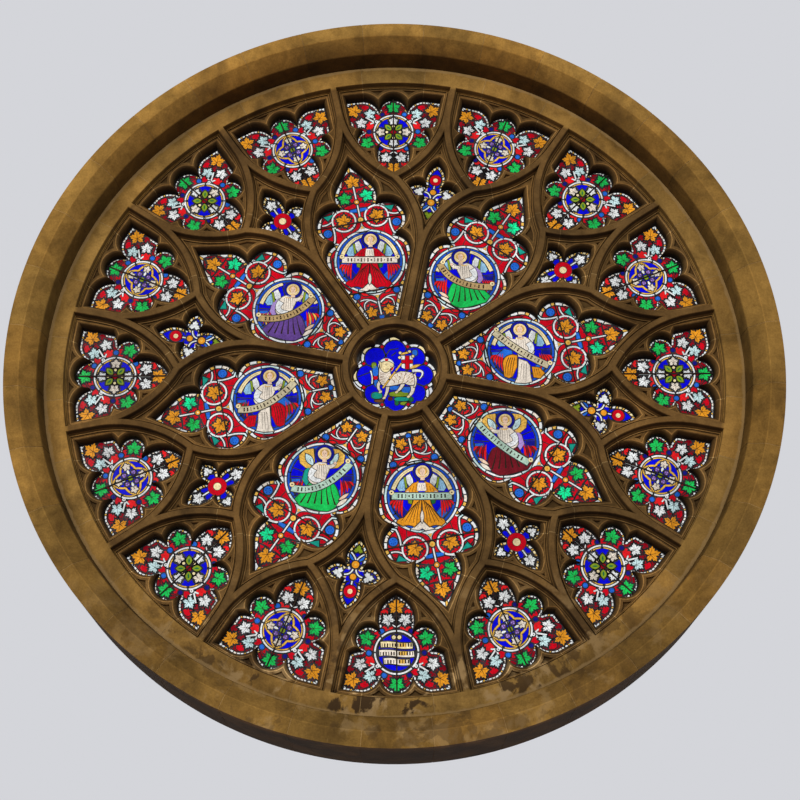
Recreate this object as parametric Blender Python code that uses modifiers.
"""Rose window: stone tracery of eight petals in a dressed arch ring, glazed with leaded glass.

Metres, +Z up. The inner face of the window looks along -Y and the nose of every tracery bar lies
in the plane Y = 0. The origin is on the bed at the foot of the arch ring, below the centre.

Every outline is drawn in the frame of its own light: x across it and z out from the window's
centre. A light or a stone is then turned clockwise, seen from the inner side, to its place.
"""
import bmesh
import bpy
from math import atan2, copysign, cos, hypot, pi, radians, sin, sqrt, tan

# Driving dimensions of the whole window
BAY = radians(45)                # one petal and one small light
HALF_LIGHT = BAY / 4             # from the axis of an outer light to the bar beside it
PETAL_TURN = -HALF_LIGHT         # the first petal stands this far from the top
ARCH_OUTER_R = 2.664             # corners of the arch ring's outer polygon
ARCH_FACE_R = 2.560              # inner edge of its flat face
ARCH_REVEAL_R = 2.452            # where the splay inside the face meets the reveal
ARCH_SEAT_R = 2.4343             # corners of its bore, where the tracery stands
TRACERY_R = 2.434                # outer corners of the tracery
RING_SIDES = 48                  # flats round the arch ring, one of them square below the centre
WALL_FACE_Y = -0.240             # the arch ring stands this far proud of the tracery
REVEAL_Y = -0.160                # front edge of its reveal
WALL_BACK_Y = 0.446              # and this far back
TRACERY_DEPTH = 0.326

# Net of bar centre lines, as radii from the window's centre
HUB_RING_R = 0.346               # the ring round the middle light
FORK_R = 0.912                   # a mullion parts here into two petal sides
JUNCTION_R = 1.517               # a petal side meets the two arches over it
SPRING_R = 2.112                 # two arches run together into one bar
RIM_R = 2.304                    # inner edge of the tracery's outer ring

# Moulding of the bars
CUSP_Y = 0.072                   # plane of the cusps, behind the nose
NOSE_HALF = 0.017                # flat nose of a bar, to one side of its centre line
BAR_CHAMFER = 0.031              # the chamfer beside it, down to the cusps
RIM_CHAMFER = 0.018              # the rim's chamfer is narrower
HUB_CHAMFER = 0.023              # so is that on the inner side of the hub ring

# Glass
GLASS_Y = 0.163                  # middle of every panel
GLASS_THICK = 0.012
GLASS_RIM_R = 2.250              # top of the glass in an outer light

# Joints between the stones
HUB_JOINT_R = 0.480              # across a mullion, beside the hub
ARCH_JOINT = 0.130               # along an arch, from its junction
JOINT_REACH = 0.150              # a joint is drawn this far past the bar, into the open light
GAP = 0.0003
CLEAR = 0.02                     # cutters stand out of the stone by this much

STONE_COLOUR = (0.42, 0.31, 0.21, 1)
GLASS_COLOUR = (0.10, 0.12, 0.42, 1)


class Arc:
    """Part of a circle. Turn 1 runs clockwise round an opening, -1 keeps the opening outside."""

    def __init__(self, x, z, radius, turn=1):
        self.x, self.z, self.radius, self.turn = x, z, radius, turn

    def grown(self, by):
        """The same arc after the opening has grown by a distance."""
        return Arc(self.x, self.z, self.radius + self.turn * by, self.turn)

    def across(self, hint):
        """The crossing with the light's axis that lies nearest a hint."""
        rise = sqrt(max(self.radius ** 2 - self.x ** 2, 0))
        return 0.0, self.z + copysign(rise, hint[1] - self.z)

    def walk(self, start, end, steps):
        """Points from start towards end, without the end."""
        first = atan2(start[1] - self.z, start[0] - self.x)
        sweep = (atan2(end[1] - self.z, end[0] - self.x) - first) % (2 * pi)
        if self.turn > 0:
            sweep -= 2 * pi
        angles = [first + sweep * step / steps for step in range(steps)]
        return [(self.x + self.radius * cos(a), self.z + self.radius * sin(a)) for a in angles]


class Line:
    """A straight side through two points, with the opening on its right."""

    def __init__(self, x, z, to_x, to_z):
        length = hypot(to_x - x, to_z - z)
        self.x, self.z = x, z
        self.dx, self.dz = (to_x - x) / length, (to_z - z) / length

    def grown(self, by):
        """The same side after the opening has grown by a distance."""
        x, z = self.x - self.dz * by, self.z + self.dx * by
        return Line(x, z, x + self.dx, z + self.dz)

    def across(self, hint):
        """The crossing with the light's axis."""
        return 0.0, self.z - self.x * self.dz / self.dx

    def walk(self, start, end, steps):
        """Points from start towards end, without the end."""
        return [(start[0] + (end[0] - start[0]) * step / steps,
                 start[1] + (end[1] - start[1]) * step / steps) for step in range(steps)]


def meet(one, two, hint):
    """The crossing of two sides that lies nearest a hint."""
    if isinstance(one, Line) and isinstance(two, Line):
        cross = one.dx * two.dz - one.dz * two.dx
        run = ((two.x - one.x) * two.dz - (two.z - one.z) * two.dx) / cross
        return one.x + one.dx * run, one.z + one.dz * run
    if isinstance(one, Line):
        one, two = two, one
    if isinstance(two, Line):
        run = (one.x - two.x) * two.dx + (one.z - two.z) * two.dz
        foot = two.x + two.dx * run, two.z + two.dz * run
        along = two.dx, two.dz
    else:
        apart = hypot(two.x - one.x, two.z - one.z)
        reach = (apart ** 2 + one.radius ** 2 - two.radius ** 2) / (2 * apart)
        ux, uz = (two.x - one.x) / apart, (two.z - one.z) / apart
        foot = one.x + ux * reach, one.z + uz * reach
        along = -uz, ux
    off = hypot(foot[0] - one.x, foot[1] - one.z)
    half = sqrt(max(one.radius ** 2 - off ** 2, 0))
    ends = [(foot[0] + along[0] * half * side, foot[1] + along[1] * half * side)
            for side in (-1, 1)]
    return min(ends, key=lambda p: hypot(p[0] - hint[0], p[1] - hint[1]))


def symmetric(sides, top, hints, foot):
    """Close an outline from the sides of its right half, listed from the top down.

    Each side is a shape with its number of steps, and the hints lie near the corners between them.
    """
    corners = [sides[0][0].across(top)]
    for (one, _), (two, _), hint in zip(sides, sides[1:], hints):
        corners.append(meet(one, two, hint))
    corners.append(sides[-1][0].across(foot))
    half = []
    for (side, steps), start, end in zip(sides, corners, corners[1:]):
        half += side.walk(start, end, steps)
    half.append(corners[-1])
    return half + [(-x, z) for x, z in reversed(half[1:-1])]


def polar(radius, angle):
    """A point at a radius, at an angle clockwise from the axis."""
    return radius * sin(angle), radius * cos(angle)


def bend_radius(tangent_r):
    """Radius of the arc that leaves a bar at tangent_r and passes through the next junction."""
    chord_squared = (JUNCTION_R ** 2 + tangent_r ** 2
                     - 2 * JUNCTION_R * tangent_r * cos(HALF_LIGHT))
    return chord_squared / (2 * JUNCTION_R * sin(HALF_LIGHT))


PETAL_BEND = bend_radius(FORK_R)
ARCH_BEND = bend_radius(SPRING_R)
JUNCTION = polar(JUNCTION_R, HALF_LIGHT)


def arc_on_bar(tangent_r, bend, bar_angle, turn):
    """The arc that leaves a bar on its inner side, towards the light's axis."""
    x, z = polar(tangent_r, bar_angle)
    return Arc(x - bend * cos(bar_angle), z + bend * sin(bar_angle), bend, turn)


def ray(angle, turn=1):
    """A bar's centre line as the right side of a light, running in towards the centre."""
    x, z = polar(1, angle)
    return Line(x * 2, z * 2, x, z)


# Bar outlines: what the bars leave open in each kind of light, from 0 deep at their nose to 1
# at the foot of the chamfer

def outer_bars(depth, steps=3):
    """An outer light between two straight bars and the two arches below."""
    bar = NOSE_HALF + BAR_CHAMFER * depth
    sides = [(Arc(0, 0, RIM_R - RIM_CHAMFER * depth), 2),
             (ray(HALF_LIGHT).grown(-bar), 1),
             (arc_on_bar(SPRING_R, ARCH_BEND, HALF_LIGHT, 1).grown(-bar), steps)]
    hints = [polar(RIM_R, HALF_LIGHT), polar(SPRING_R, HALF_LIGHT)]
    return symmetric(sides, (0, RIM_R), hints, (0, JUNCTION_R))


def petal_bars(depth, steps=3):
    """A petal: the two arches of its tip, its bowed sides, two mullions and the hub ring."""
    bar = NOSE_HALF + BAR_CHAMFER * depth
    mullion = BAY / 2
    sides = [(Arc(ARCH_BEND, SPRING_R, ARCH_BEND, -1).grown(-bar), steps),
             (arc_on_bar(FORK_R, PETAL_BEND, mullion, 1).grown(-bar), steps),
             (ray(mullion).grown(-bar), 1),
             (Arc(0, 0, HUB_RING_R, -1).grown(-bar), 1)]
    hints = [JUNCTION, polar(FORK_R, mullion), polar(HUB_RING_R, mullion)]
    return symmetric(sides, (0, JUNCTION_R), hints, (0, SPRING_R))


def small_bars(depth, steps=3):
    """A small light: four hollow sides between two petals."""
    bar = NOSE_HALF + BAR_CHAMFER * depth
    sides = [(Arc(ARCH_BEND, SPRING_R, ARCH_BEND, -1).grown(-bar), steps),
             (Arc(PETAL_BEND, FORK_R, PETAL_BEND, -1).grown(-bar), steps)]
    return symmetric(sides, (0, JUNCTION_R), [JUNCTION], (0, JUNCTION_R))


def hub_bars(depth, steps=32):
    """The round opening inside the hub ring."""
    radius = HUB_RING_R - NOSE_HALF - HUB_CHAMFER * depth
    return [polar(radius, 2 * pi * step / steps) for step in range(steps)]


# Foil outlines: the openings between the cusps, which the glass fills

def outer_foils(grow=0):
    """Six foils: one above, two corners against the rim, two at the sides and a pointed foot."""
    top = Arc(0, 2.146, 0.104)
    corner = Arc(0.236, 2.102, 0.137)
    side = Arc(0.184, 1.889, 0.089)
    foot = Arc(-0.066, 1.764, 0.188)
    wall = ray(HALF_LIGHT).grown(-0.082)
    sides = [(top, 2), (corner, 2), (Arc(0, 0, GLASS_RIM_R), 1), (wall, 1), (corner, 1),
             (side, 3), (foot, 2)]
    hints = [(0.10, 2.13), (0.22, 2.24), (0.36, 2.22), (0.33, 2.05), (0.21, 1.97), (0.11, 1.83)]
    return symmetric([(s.grown(grow), n) for s, n in sides], (0, 2.3), hints, (0, 1.5))


def petal_foils(grow=0):
    """A pointed tip, two side foils, two bows beside the roundel and a tapering foot."""
    tip_r, tip_z, apex_z = 0.158, 1.445, 1.718
    lean = pi / 2 - atan2(sqrt((apex_z - tip_z) ** 2 - tip_r ** 2), tip_r)
    tangent = tip_r * cos(lean), tip_z + tip_r * sin(lean)
    slope = Line(0, apex_z, *tangent)
    side = Arc(0.188, 1.224, 0.144)
    bow = Arc(0.180, 0.962, 0.132)
    wall = ray(BAY / 2).grown(-0.068)
    foot = Line(0.2, 0.425, 0, 0.425)
    sides = [(slope, 1), (Arc(0, tip_z, tip_r), 2), (side, 3), (bow, 2), (wall, 1), (foot, 1)]
    hints = [tangent, (0.13, 1.36), (0.23, 1.08), (0.28, 0.86), (0.10, 0.425)]
    return symmetric([(s.grown(grow), n) for s, n in sides], (0, apex_z), hints, (0, 0.4))


def small_foils(grow=0):
    """Four pointed foils, the upright pair longer than the level pair."""
    mid_z = 1.471
    upper = Arc(-0.085, mid_z + 0.113, 0.157)
    lower = Arc(-0.085, mid_z - 0.113, 0.157)
    side_top = Arc(0.108, mid_z - 0.024, 0.084)
    side_foot = Arc(0.108, mid_z + 0.024, 0.084)
    sides = [(upper, 2), (side_top, 2), (side_foot, 2), (lower, 2)]
    hints = [(0.065, mid_z + 0.06), (0.19, mid_z), (0.065, mid_z - 0.06)]
    return symmetric([(s.grown(grow), n) for s, n in sides], (0, 1.72), hints, (0, 1.2))


def hub_foils(grow=0, steps=4):
    """Eight shallow foils, one on the axis of each petal."""
    lobe = Arc(0, 0.188, 0.112 + grow)
    swing = Line(0, 0, *polar(1, HALF_LIGHT * 2))
    right = meet(lobe, swing, (0.1, 0.24))
    lobe_points = lobe.walk((-right[0], right[1]), right, steps)
    return [turned(point, BAY * k) for k in range(8) for point in lobe_points]


# Stones, as the polygons between their joints

def turned(point, angle):
    """A point turned clockwise about the window's centre."""
    x, z = point
    return x * cos(angle) + z * sin(angle), z * cos(angle) - x * sin(angle)


def arch_joint():
    """Ends of the joint across the right-hand arch of a petal tip or a small light.

    The first end is inside that light, and the second is on the axis of the outer light beside it.
    """
    sweep = atan2(SPRING_R - JUNCTION[1], ARCH_BEND - JUNCTION[0]) - ARCH_JOINT / ARCH_BEND
    reach = ARCH_BEND + JOINT_REACH
    inner = ARCH_BEND - reach * cos(sweep), SPRING_R - reach * sin(sweep)
    across = Line(ARCH_BEND, SPRING_R, *inner)
    return inner, meet(across, ray(HALF_LIGHT), (0, 0))


def springer_outline():
    """A bar, its two arches down to their joints and its length of the outer ring."""
    inner, on_axis = arch_joint()
    flat = 2 * pi / RING_SIDES
    end = polar(TRACERY_R * cos(flat / 2), HALF_LIGHT)
    right = [polar(TRACERY_R, flat), end, on_axis, inner]
    return [(0, TRACERY_R)] + right + [(-x, z) for x, z in reversed(right)]


def fork_outline():
    """A mullion, the two petal sides that it parts into and both their junctions."""
    inner, on_axis = arch_joint()
    right = [inner, on_axis, turned((-inner[0], inner[1]), BAY / 2), polar(inner[1], BAY / 2),
             (HUB_JOINT_R * tan(BAY / 2), HUB_JOINT_R)]
    return right + [(-x, z) for x, z in reversed(right)]


def hub_outline():
    """The hub ring with the feet of all eight mullions."""
    return [polar(HUB_JOINT_R / cos(BAY / 2), PETAL_TURN + BAY * k) for k in range(8)]


def inset(outline, by):
    """A clockwise polygon drawn in by a small distance on every side."""
    moved = []
    for before, here, after in zip(outline[-1:] + outline, outline, outline[1:] + outline[:1]):
        one = Line(*before, *here).grown(-by)
        two = Line(*here, *after).grown(-by)
        bend = one.dx * two.dz - one.dz * two.dx
        moved.append((two.x, two.z) if abs(bend) < 1e-6 else meet(one, two, here))
    return moved


# Solids

def new_material(name, colour, roughness, transmission=0.0):
    """A Principled material in one colour."""
    material = bpy.data.materials.new(name)
    material.use_nodes = True
    shader = material.node_tree.nodes["Principled BSDF"]
    shader.inputs["Base Color"].default_value = colour
    shader.inputs["Roughness"].default_value = roughness
    shader.inputs["Transmission Weight"].default_value = transmission
    return material


def add_object(name, mesh, collection, material=None):
    """An object on a mesh, in a collection."""
    body = bpy.data.objects.new(name, mesh)
    collection.objects.link(body)
    if material and not mesh.materials:
        mesh.materials.append(material)
    return body


def prism(name, outline, front_y, back_y, collection):
    """A flat outline as a filled curve, given its thickness and made a mesh."""
    curve = bpy.data.curves.new(name, "CURVE")
    curve.dimensions = "2D"
    curve.fill_mode = "BOTH"
    curve.extrude = (back_y - front_y) / 2
    spline = curve.splines.new("POLY")
    spline.points.add(len(outline) - 1)
    for point, (x, z) in zip(spline.points, outline):
        point.co = (x, z, 0, 1)
    spline.use_cyclic_u = True
    flat = add_object(name, curve, collection)
    flat.rotation_euler = (pi / 2, 0, 0)
    flat.location = (0, (front_y + back_y) / 2, 0)
    bpy.context.view_layer.update()
    mesh = bpy.data.meshes.new_from_object(
        flat.evaluated_get(bpy.context.evaluated_depsgraph_get()))
    mesh.transform(flat.matrix_world)
    bpy.data.objects.remove(flat)
    weld = bmesh.new()
    weld.from_mesh(mesh)
    bmesh.ops.remove_doubles(weld, verts=weld.verts, dist=1e-5)
    bmesh.ops.recalc_face_normals(weld, faces=weld.faces)
    weld.to_mesh(mesh)
    weld.free()
    return add_object(name, mesh, collection)


def loft(name, levels, collection):
    """A closed solid through outlines of equal counts, each with its y."""
    shape = bmesh.new()
    loops = []
    for outline, y in levels:
        loops.append([shape.verts.new((x, y, z)) for x, z in outline])
    for one, two in zip(loops, loops[1:]):
        for k in range(len(one)):
            shape.faces.new((one[k - 1], one[k], two[k], two[k - 1]))
    shape.faces.new(loops[0])
    shape.faces.new(loops[-1])
    bmesh.ops.recalc_face_normals(shape, faces=shape.faces)
    mesh = bpy.data.meshes.new(name)
    shape.to_mesh(mesh)
    shape.free()
    return add_object(name, mesh, collection)


def guide(body):
    """Mark a cutter, which is no part of the window."""
    body.hide_render = True
    body.display_type = "WIRE"
    return body


def light_cutters(name, bars, foils, collection):
    """Cut a light in two steps: the chamfer down to the cusps, then the foils right through."""
    chamfer = loft(name + "_chamfer", [(bars(-CLEAR / CUSP_Y), -CLEAR), (bars(1), CUSP_Y)],
                   collection)
    opening = prism(name + "_foils", foils(), CUSP_Y - CLEAR, TRACERY_DEPTH + CLEAR, collection)
    return [guide(chamfer), guide(opening)]


def turned_ring(name, collection):
    """The arch ring: its section turned once round the window's centre."""
    section = [(ARCH_SEAT_R, WALL_BACK_Y), (ARCH_SEAT_R, 0), (ARCH_REVEAL_R, REVEAL_Y),
               (ARCH_FACE_R, WALL_FACE_Y), (ARCH_OUTER_R, WALL_FACE_Y),
               (ARCH_OUTER_R, WALL_BACK_Y)]
    shape = bmesh.new()
    corners = [shape.verts.new((x, 0, -y)) for x, y in section]
    for one, two in zip(corners, corners[1:] + corners[:1]):
        shape.edges.new((one, two))
    mesh = bpy.data.meshes.new(name)
    shape.to_mesh(mesh)
    shape.free()
    ring = add_object(name, mesh, collection)
    spin = ring.modifiers.new("turned", "SCREW")
    spin.steps = spin.render_steps = RING_SIDES
    spin.use_merge_vertices = True
    spin.merge_threshold = 1e-5
    return ring


def carve(name, outline, cuts, collection, cutter_collection):
    """Cut a stone from its block: each cut is a pair of cutters and the angle they stand at."""
    block = prism(name, inset(outline, GAP / 2), 0, TRACERY_DEPTH, collection)
    for cutters, angle in cuts:
        for cutter in cutters:
            tool = guide(add_object(cutter.name + "_at", cutter.data, cutter_collection))
            tool.rotation_euler = (0, angle, 0)
            cut = block.modifiers.new(tool.name, "BOOLEAN")
            cut.operation = "DIFFERENCE"
            cut.solver = "EXACT"
            cut.object = tool
    bpy.context.view_layer.update()
    mesh = bpy.data.meshes.new_from_object(
        block.evaluated_get(bpy.context.evaluated_depsgraph_get()))
    bpy.data.objects.remove(block)
    mesh.name = name
    return mesh


def place(name, mesh, angle, material, collection, centre):
    """One copy of a stone or a panel, turned to its place about the window's centre."""
    body = add_object(name, mesh, collection, material)
    body.parent = centre
    body.rotation_euler = (0, angle, 0)
    return body


def main():
    """Build the window."""
    for old in list(bpy.data.objects):
        bpy.data.objects.remove(old)
    window = bpy.data.collections.new("rose_window")
    guides = bpy.data.collections.new("cutters")
    bpy.context.scene.collection.children.link(window)
    bpy.context.scene.collection.children.link(guides)
    stone = new_material("stone", STONE_COLOUR, 0.9)
    glass = new_material("stained_glass", GLASS_COLOUR, 0.2, 0.6)
    centre = bpy.data.objects.new("window_centre", None)
    window.objects.link(centre)
    centre.location = (0, 0, ARCH_OUTER_R * cos(pi / RING_SIDES))

    outer = light_cutters("outer", outer_bars, outer_foils, guides)
    petal = light_cutters("petal", petal_bars, petal_foils, guides)
    small = light_cutters("small", small_bars, small_foils, guides)
    middle = light_cutters("middle", hub_bars, hub_foils, guides)

    beside = [(outer, HALF_LIGHT), (outer, -HALF_LIGHT)]
    petals = [(petal, BAY / 2), (petal, -BAY / 2)]
    springers = {
        "petal_springer": carve("petal_springer", springer_outline(), [(petal, 0)] + beside,
                                window, guides),
        "fork_springer": carve("fork_springer", springer_outline(), [(small, 0)] + beside,
                               window, guides)}
    fork = carve("fork", fork_outline(), [(small, 0)] + petals + beside, window, guides)
    hub_cuts = [(middle, PETAL_TURN)] + [(petal, PETAL_TURN + BAY * k) for k in range(8)]
    hub = carve("hub", hub_outline(), hub_cuts, window, guides)

    panels = [prism(kind + "_panel", inset(foils(), GAP), GLASS_Y - GLASS_THICK / 2,
                    GLASS_Y + GLASS_THICK / 2, guides)
              for kind, foils in (("outer", outer_foils), ("petal", petal_foils),
                                  ("small", small_foils), ("middle", hub_foils))]
    outer_glass, petal_glass, small_glass, middle_glass = [panel.data for panel in panels]
    for panel in panels:
        bpy.data.objects.remove(panel)

    ring = turned_ring("arch_ring", window)
    ring.data.materials.append(stone)
    ring.parent = centre
    ring.rotation_euler = (pi / 2, pi / RING_SIDES, 0)
    place("hub_stone", hub, 0, stone, window, centre)
    place("centre_glass", middle_glass, PETAL_TURN, glass, window, centre)
    for k in range(16):
        place(f"outer_glass_{k + 1}", outer_glass, BAY / 2 * k, glass, window, centre)
    for k in range(8):
        petal_at = PETAL_TURN + BAY * k
        fork_at = petal_at + BAY / 2
        place(f"petal_springer_{k + 1}", springers["petal_springer"], petal_at, stone, window,
              centre)
        place(f"fork_springer_{k + 1}", springers["fork_springer"], fork_at, stone, window, centre)
        place(f"fork_stone_{k + 1}", fork, fork_at, stone, window, centre)
        place(f"petal_glass_{k + 1}", petal_glass, petal_at, glass, window, centre)
        place(f"quatrefoil_glass_{k + 1}", small_glass, fork_at, glass, window, centre)


main()
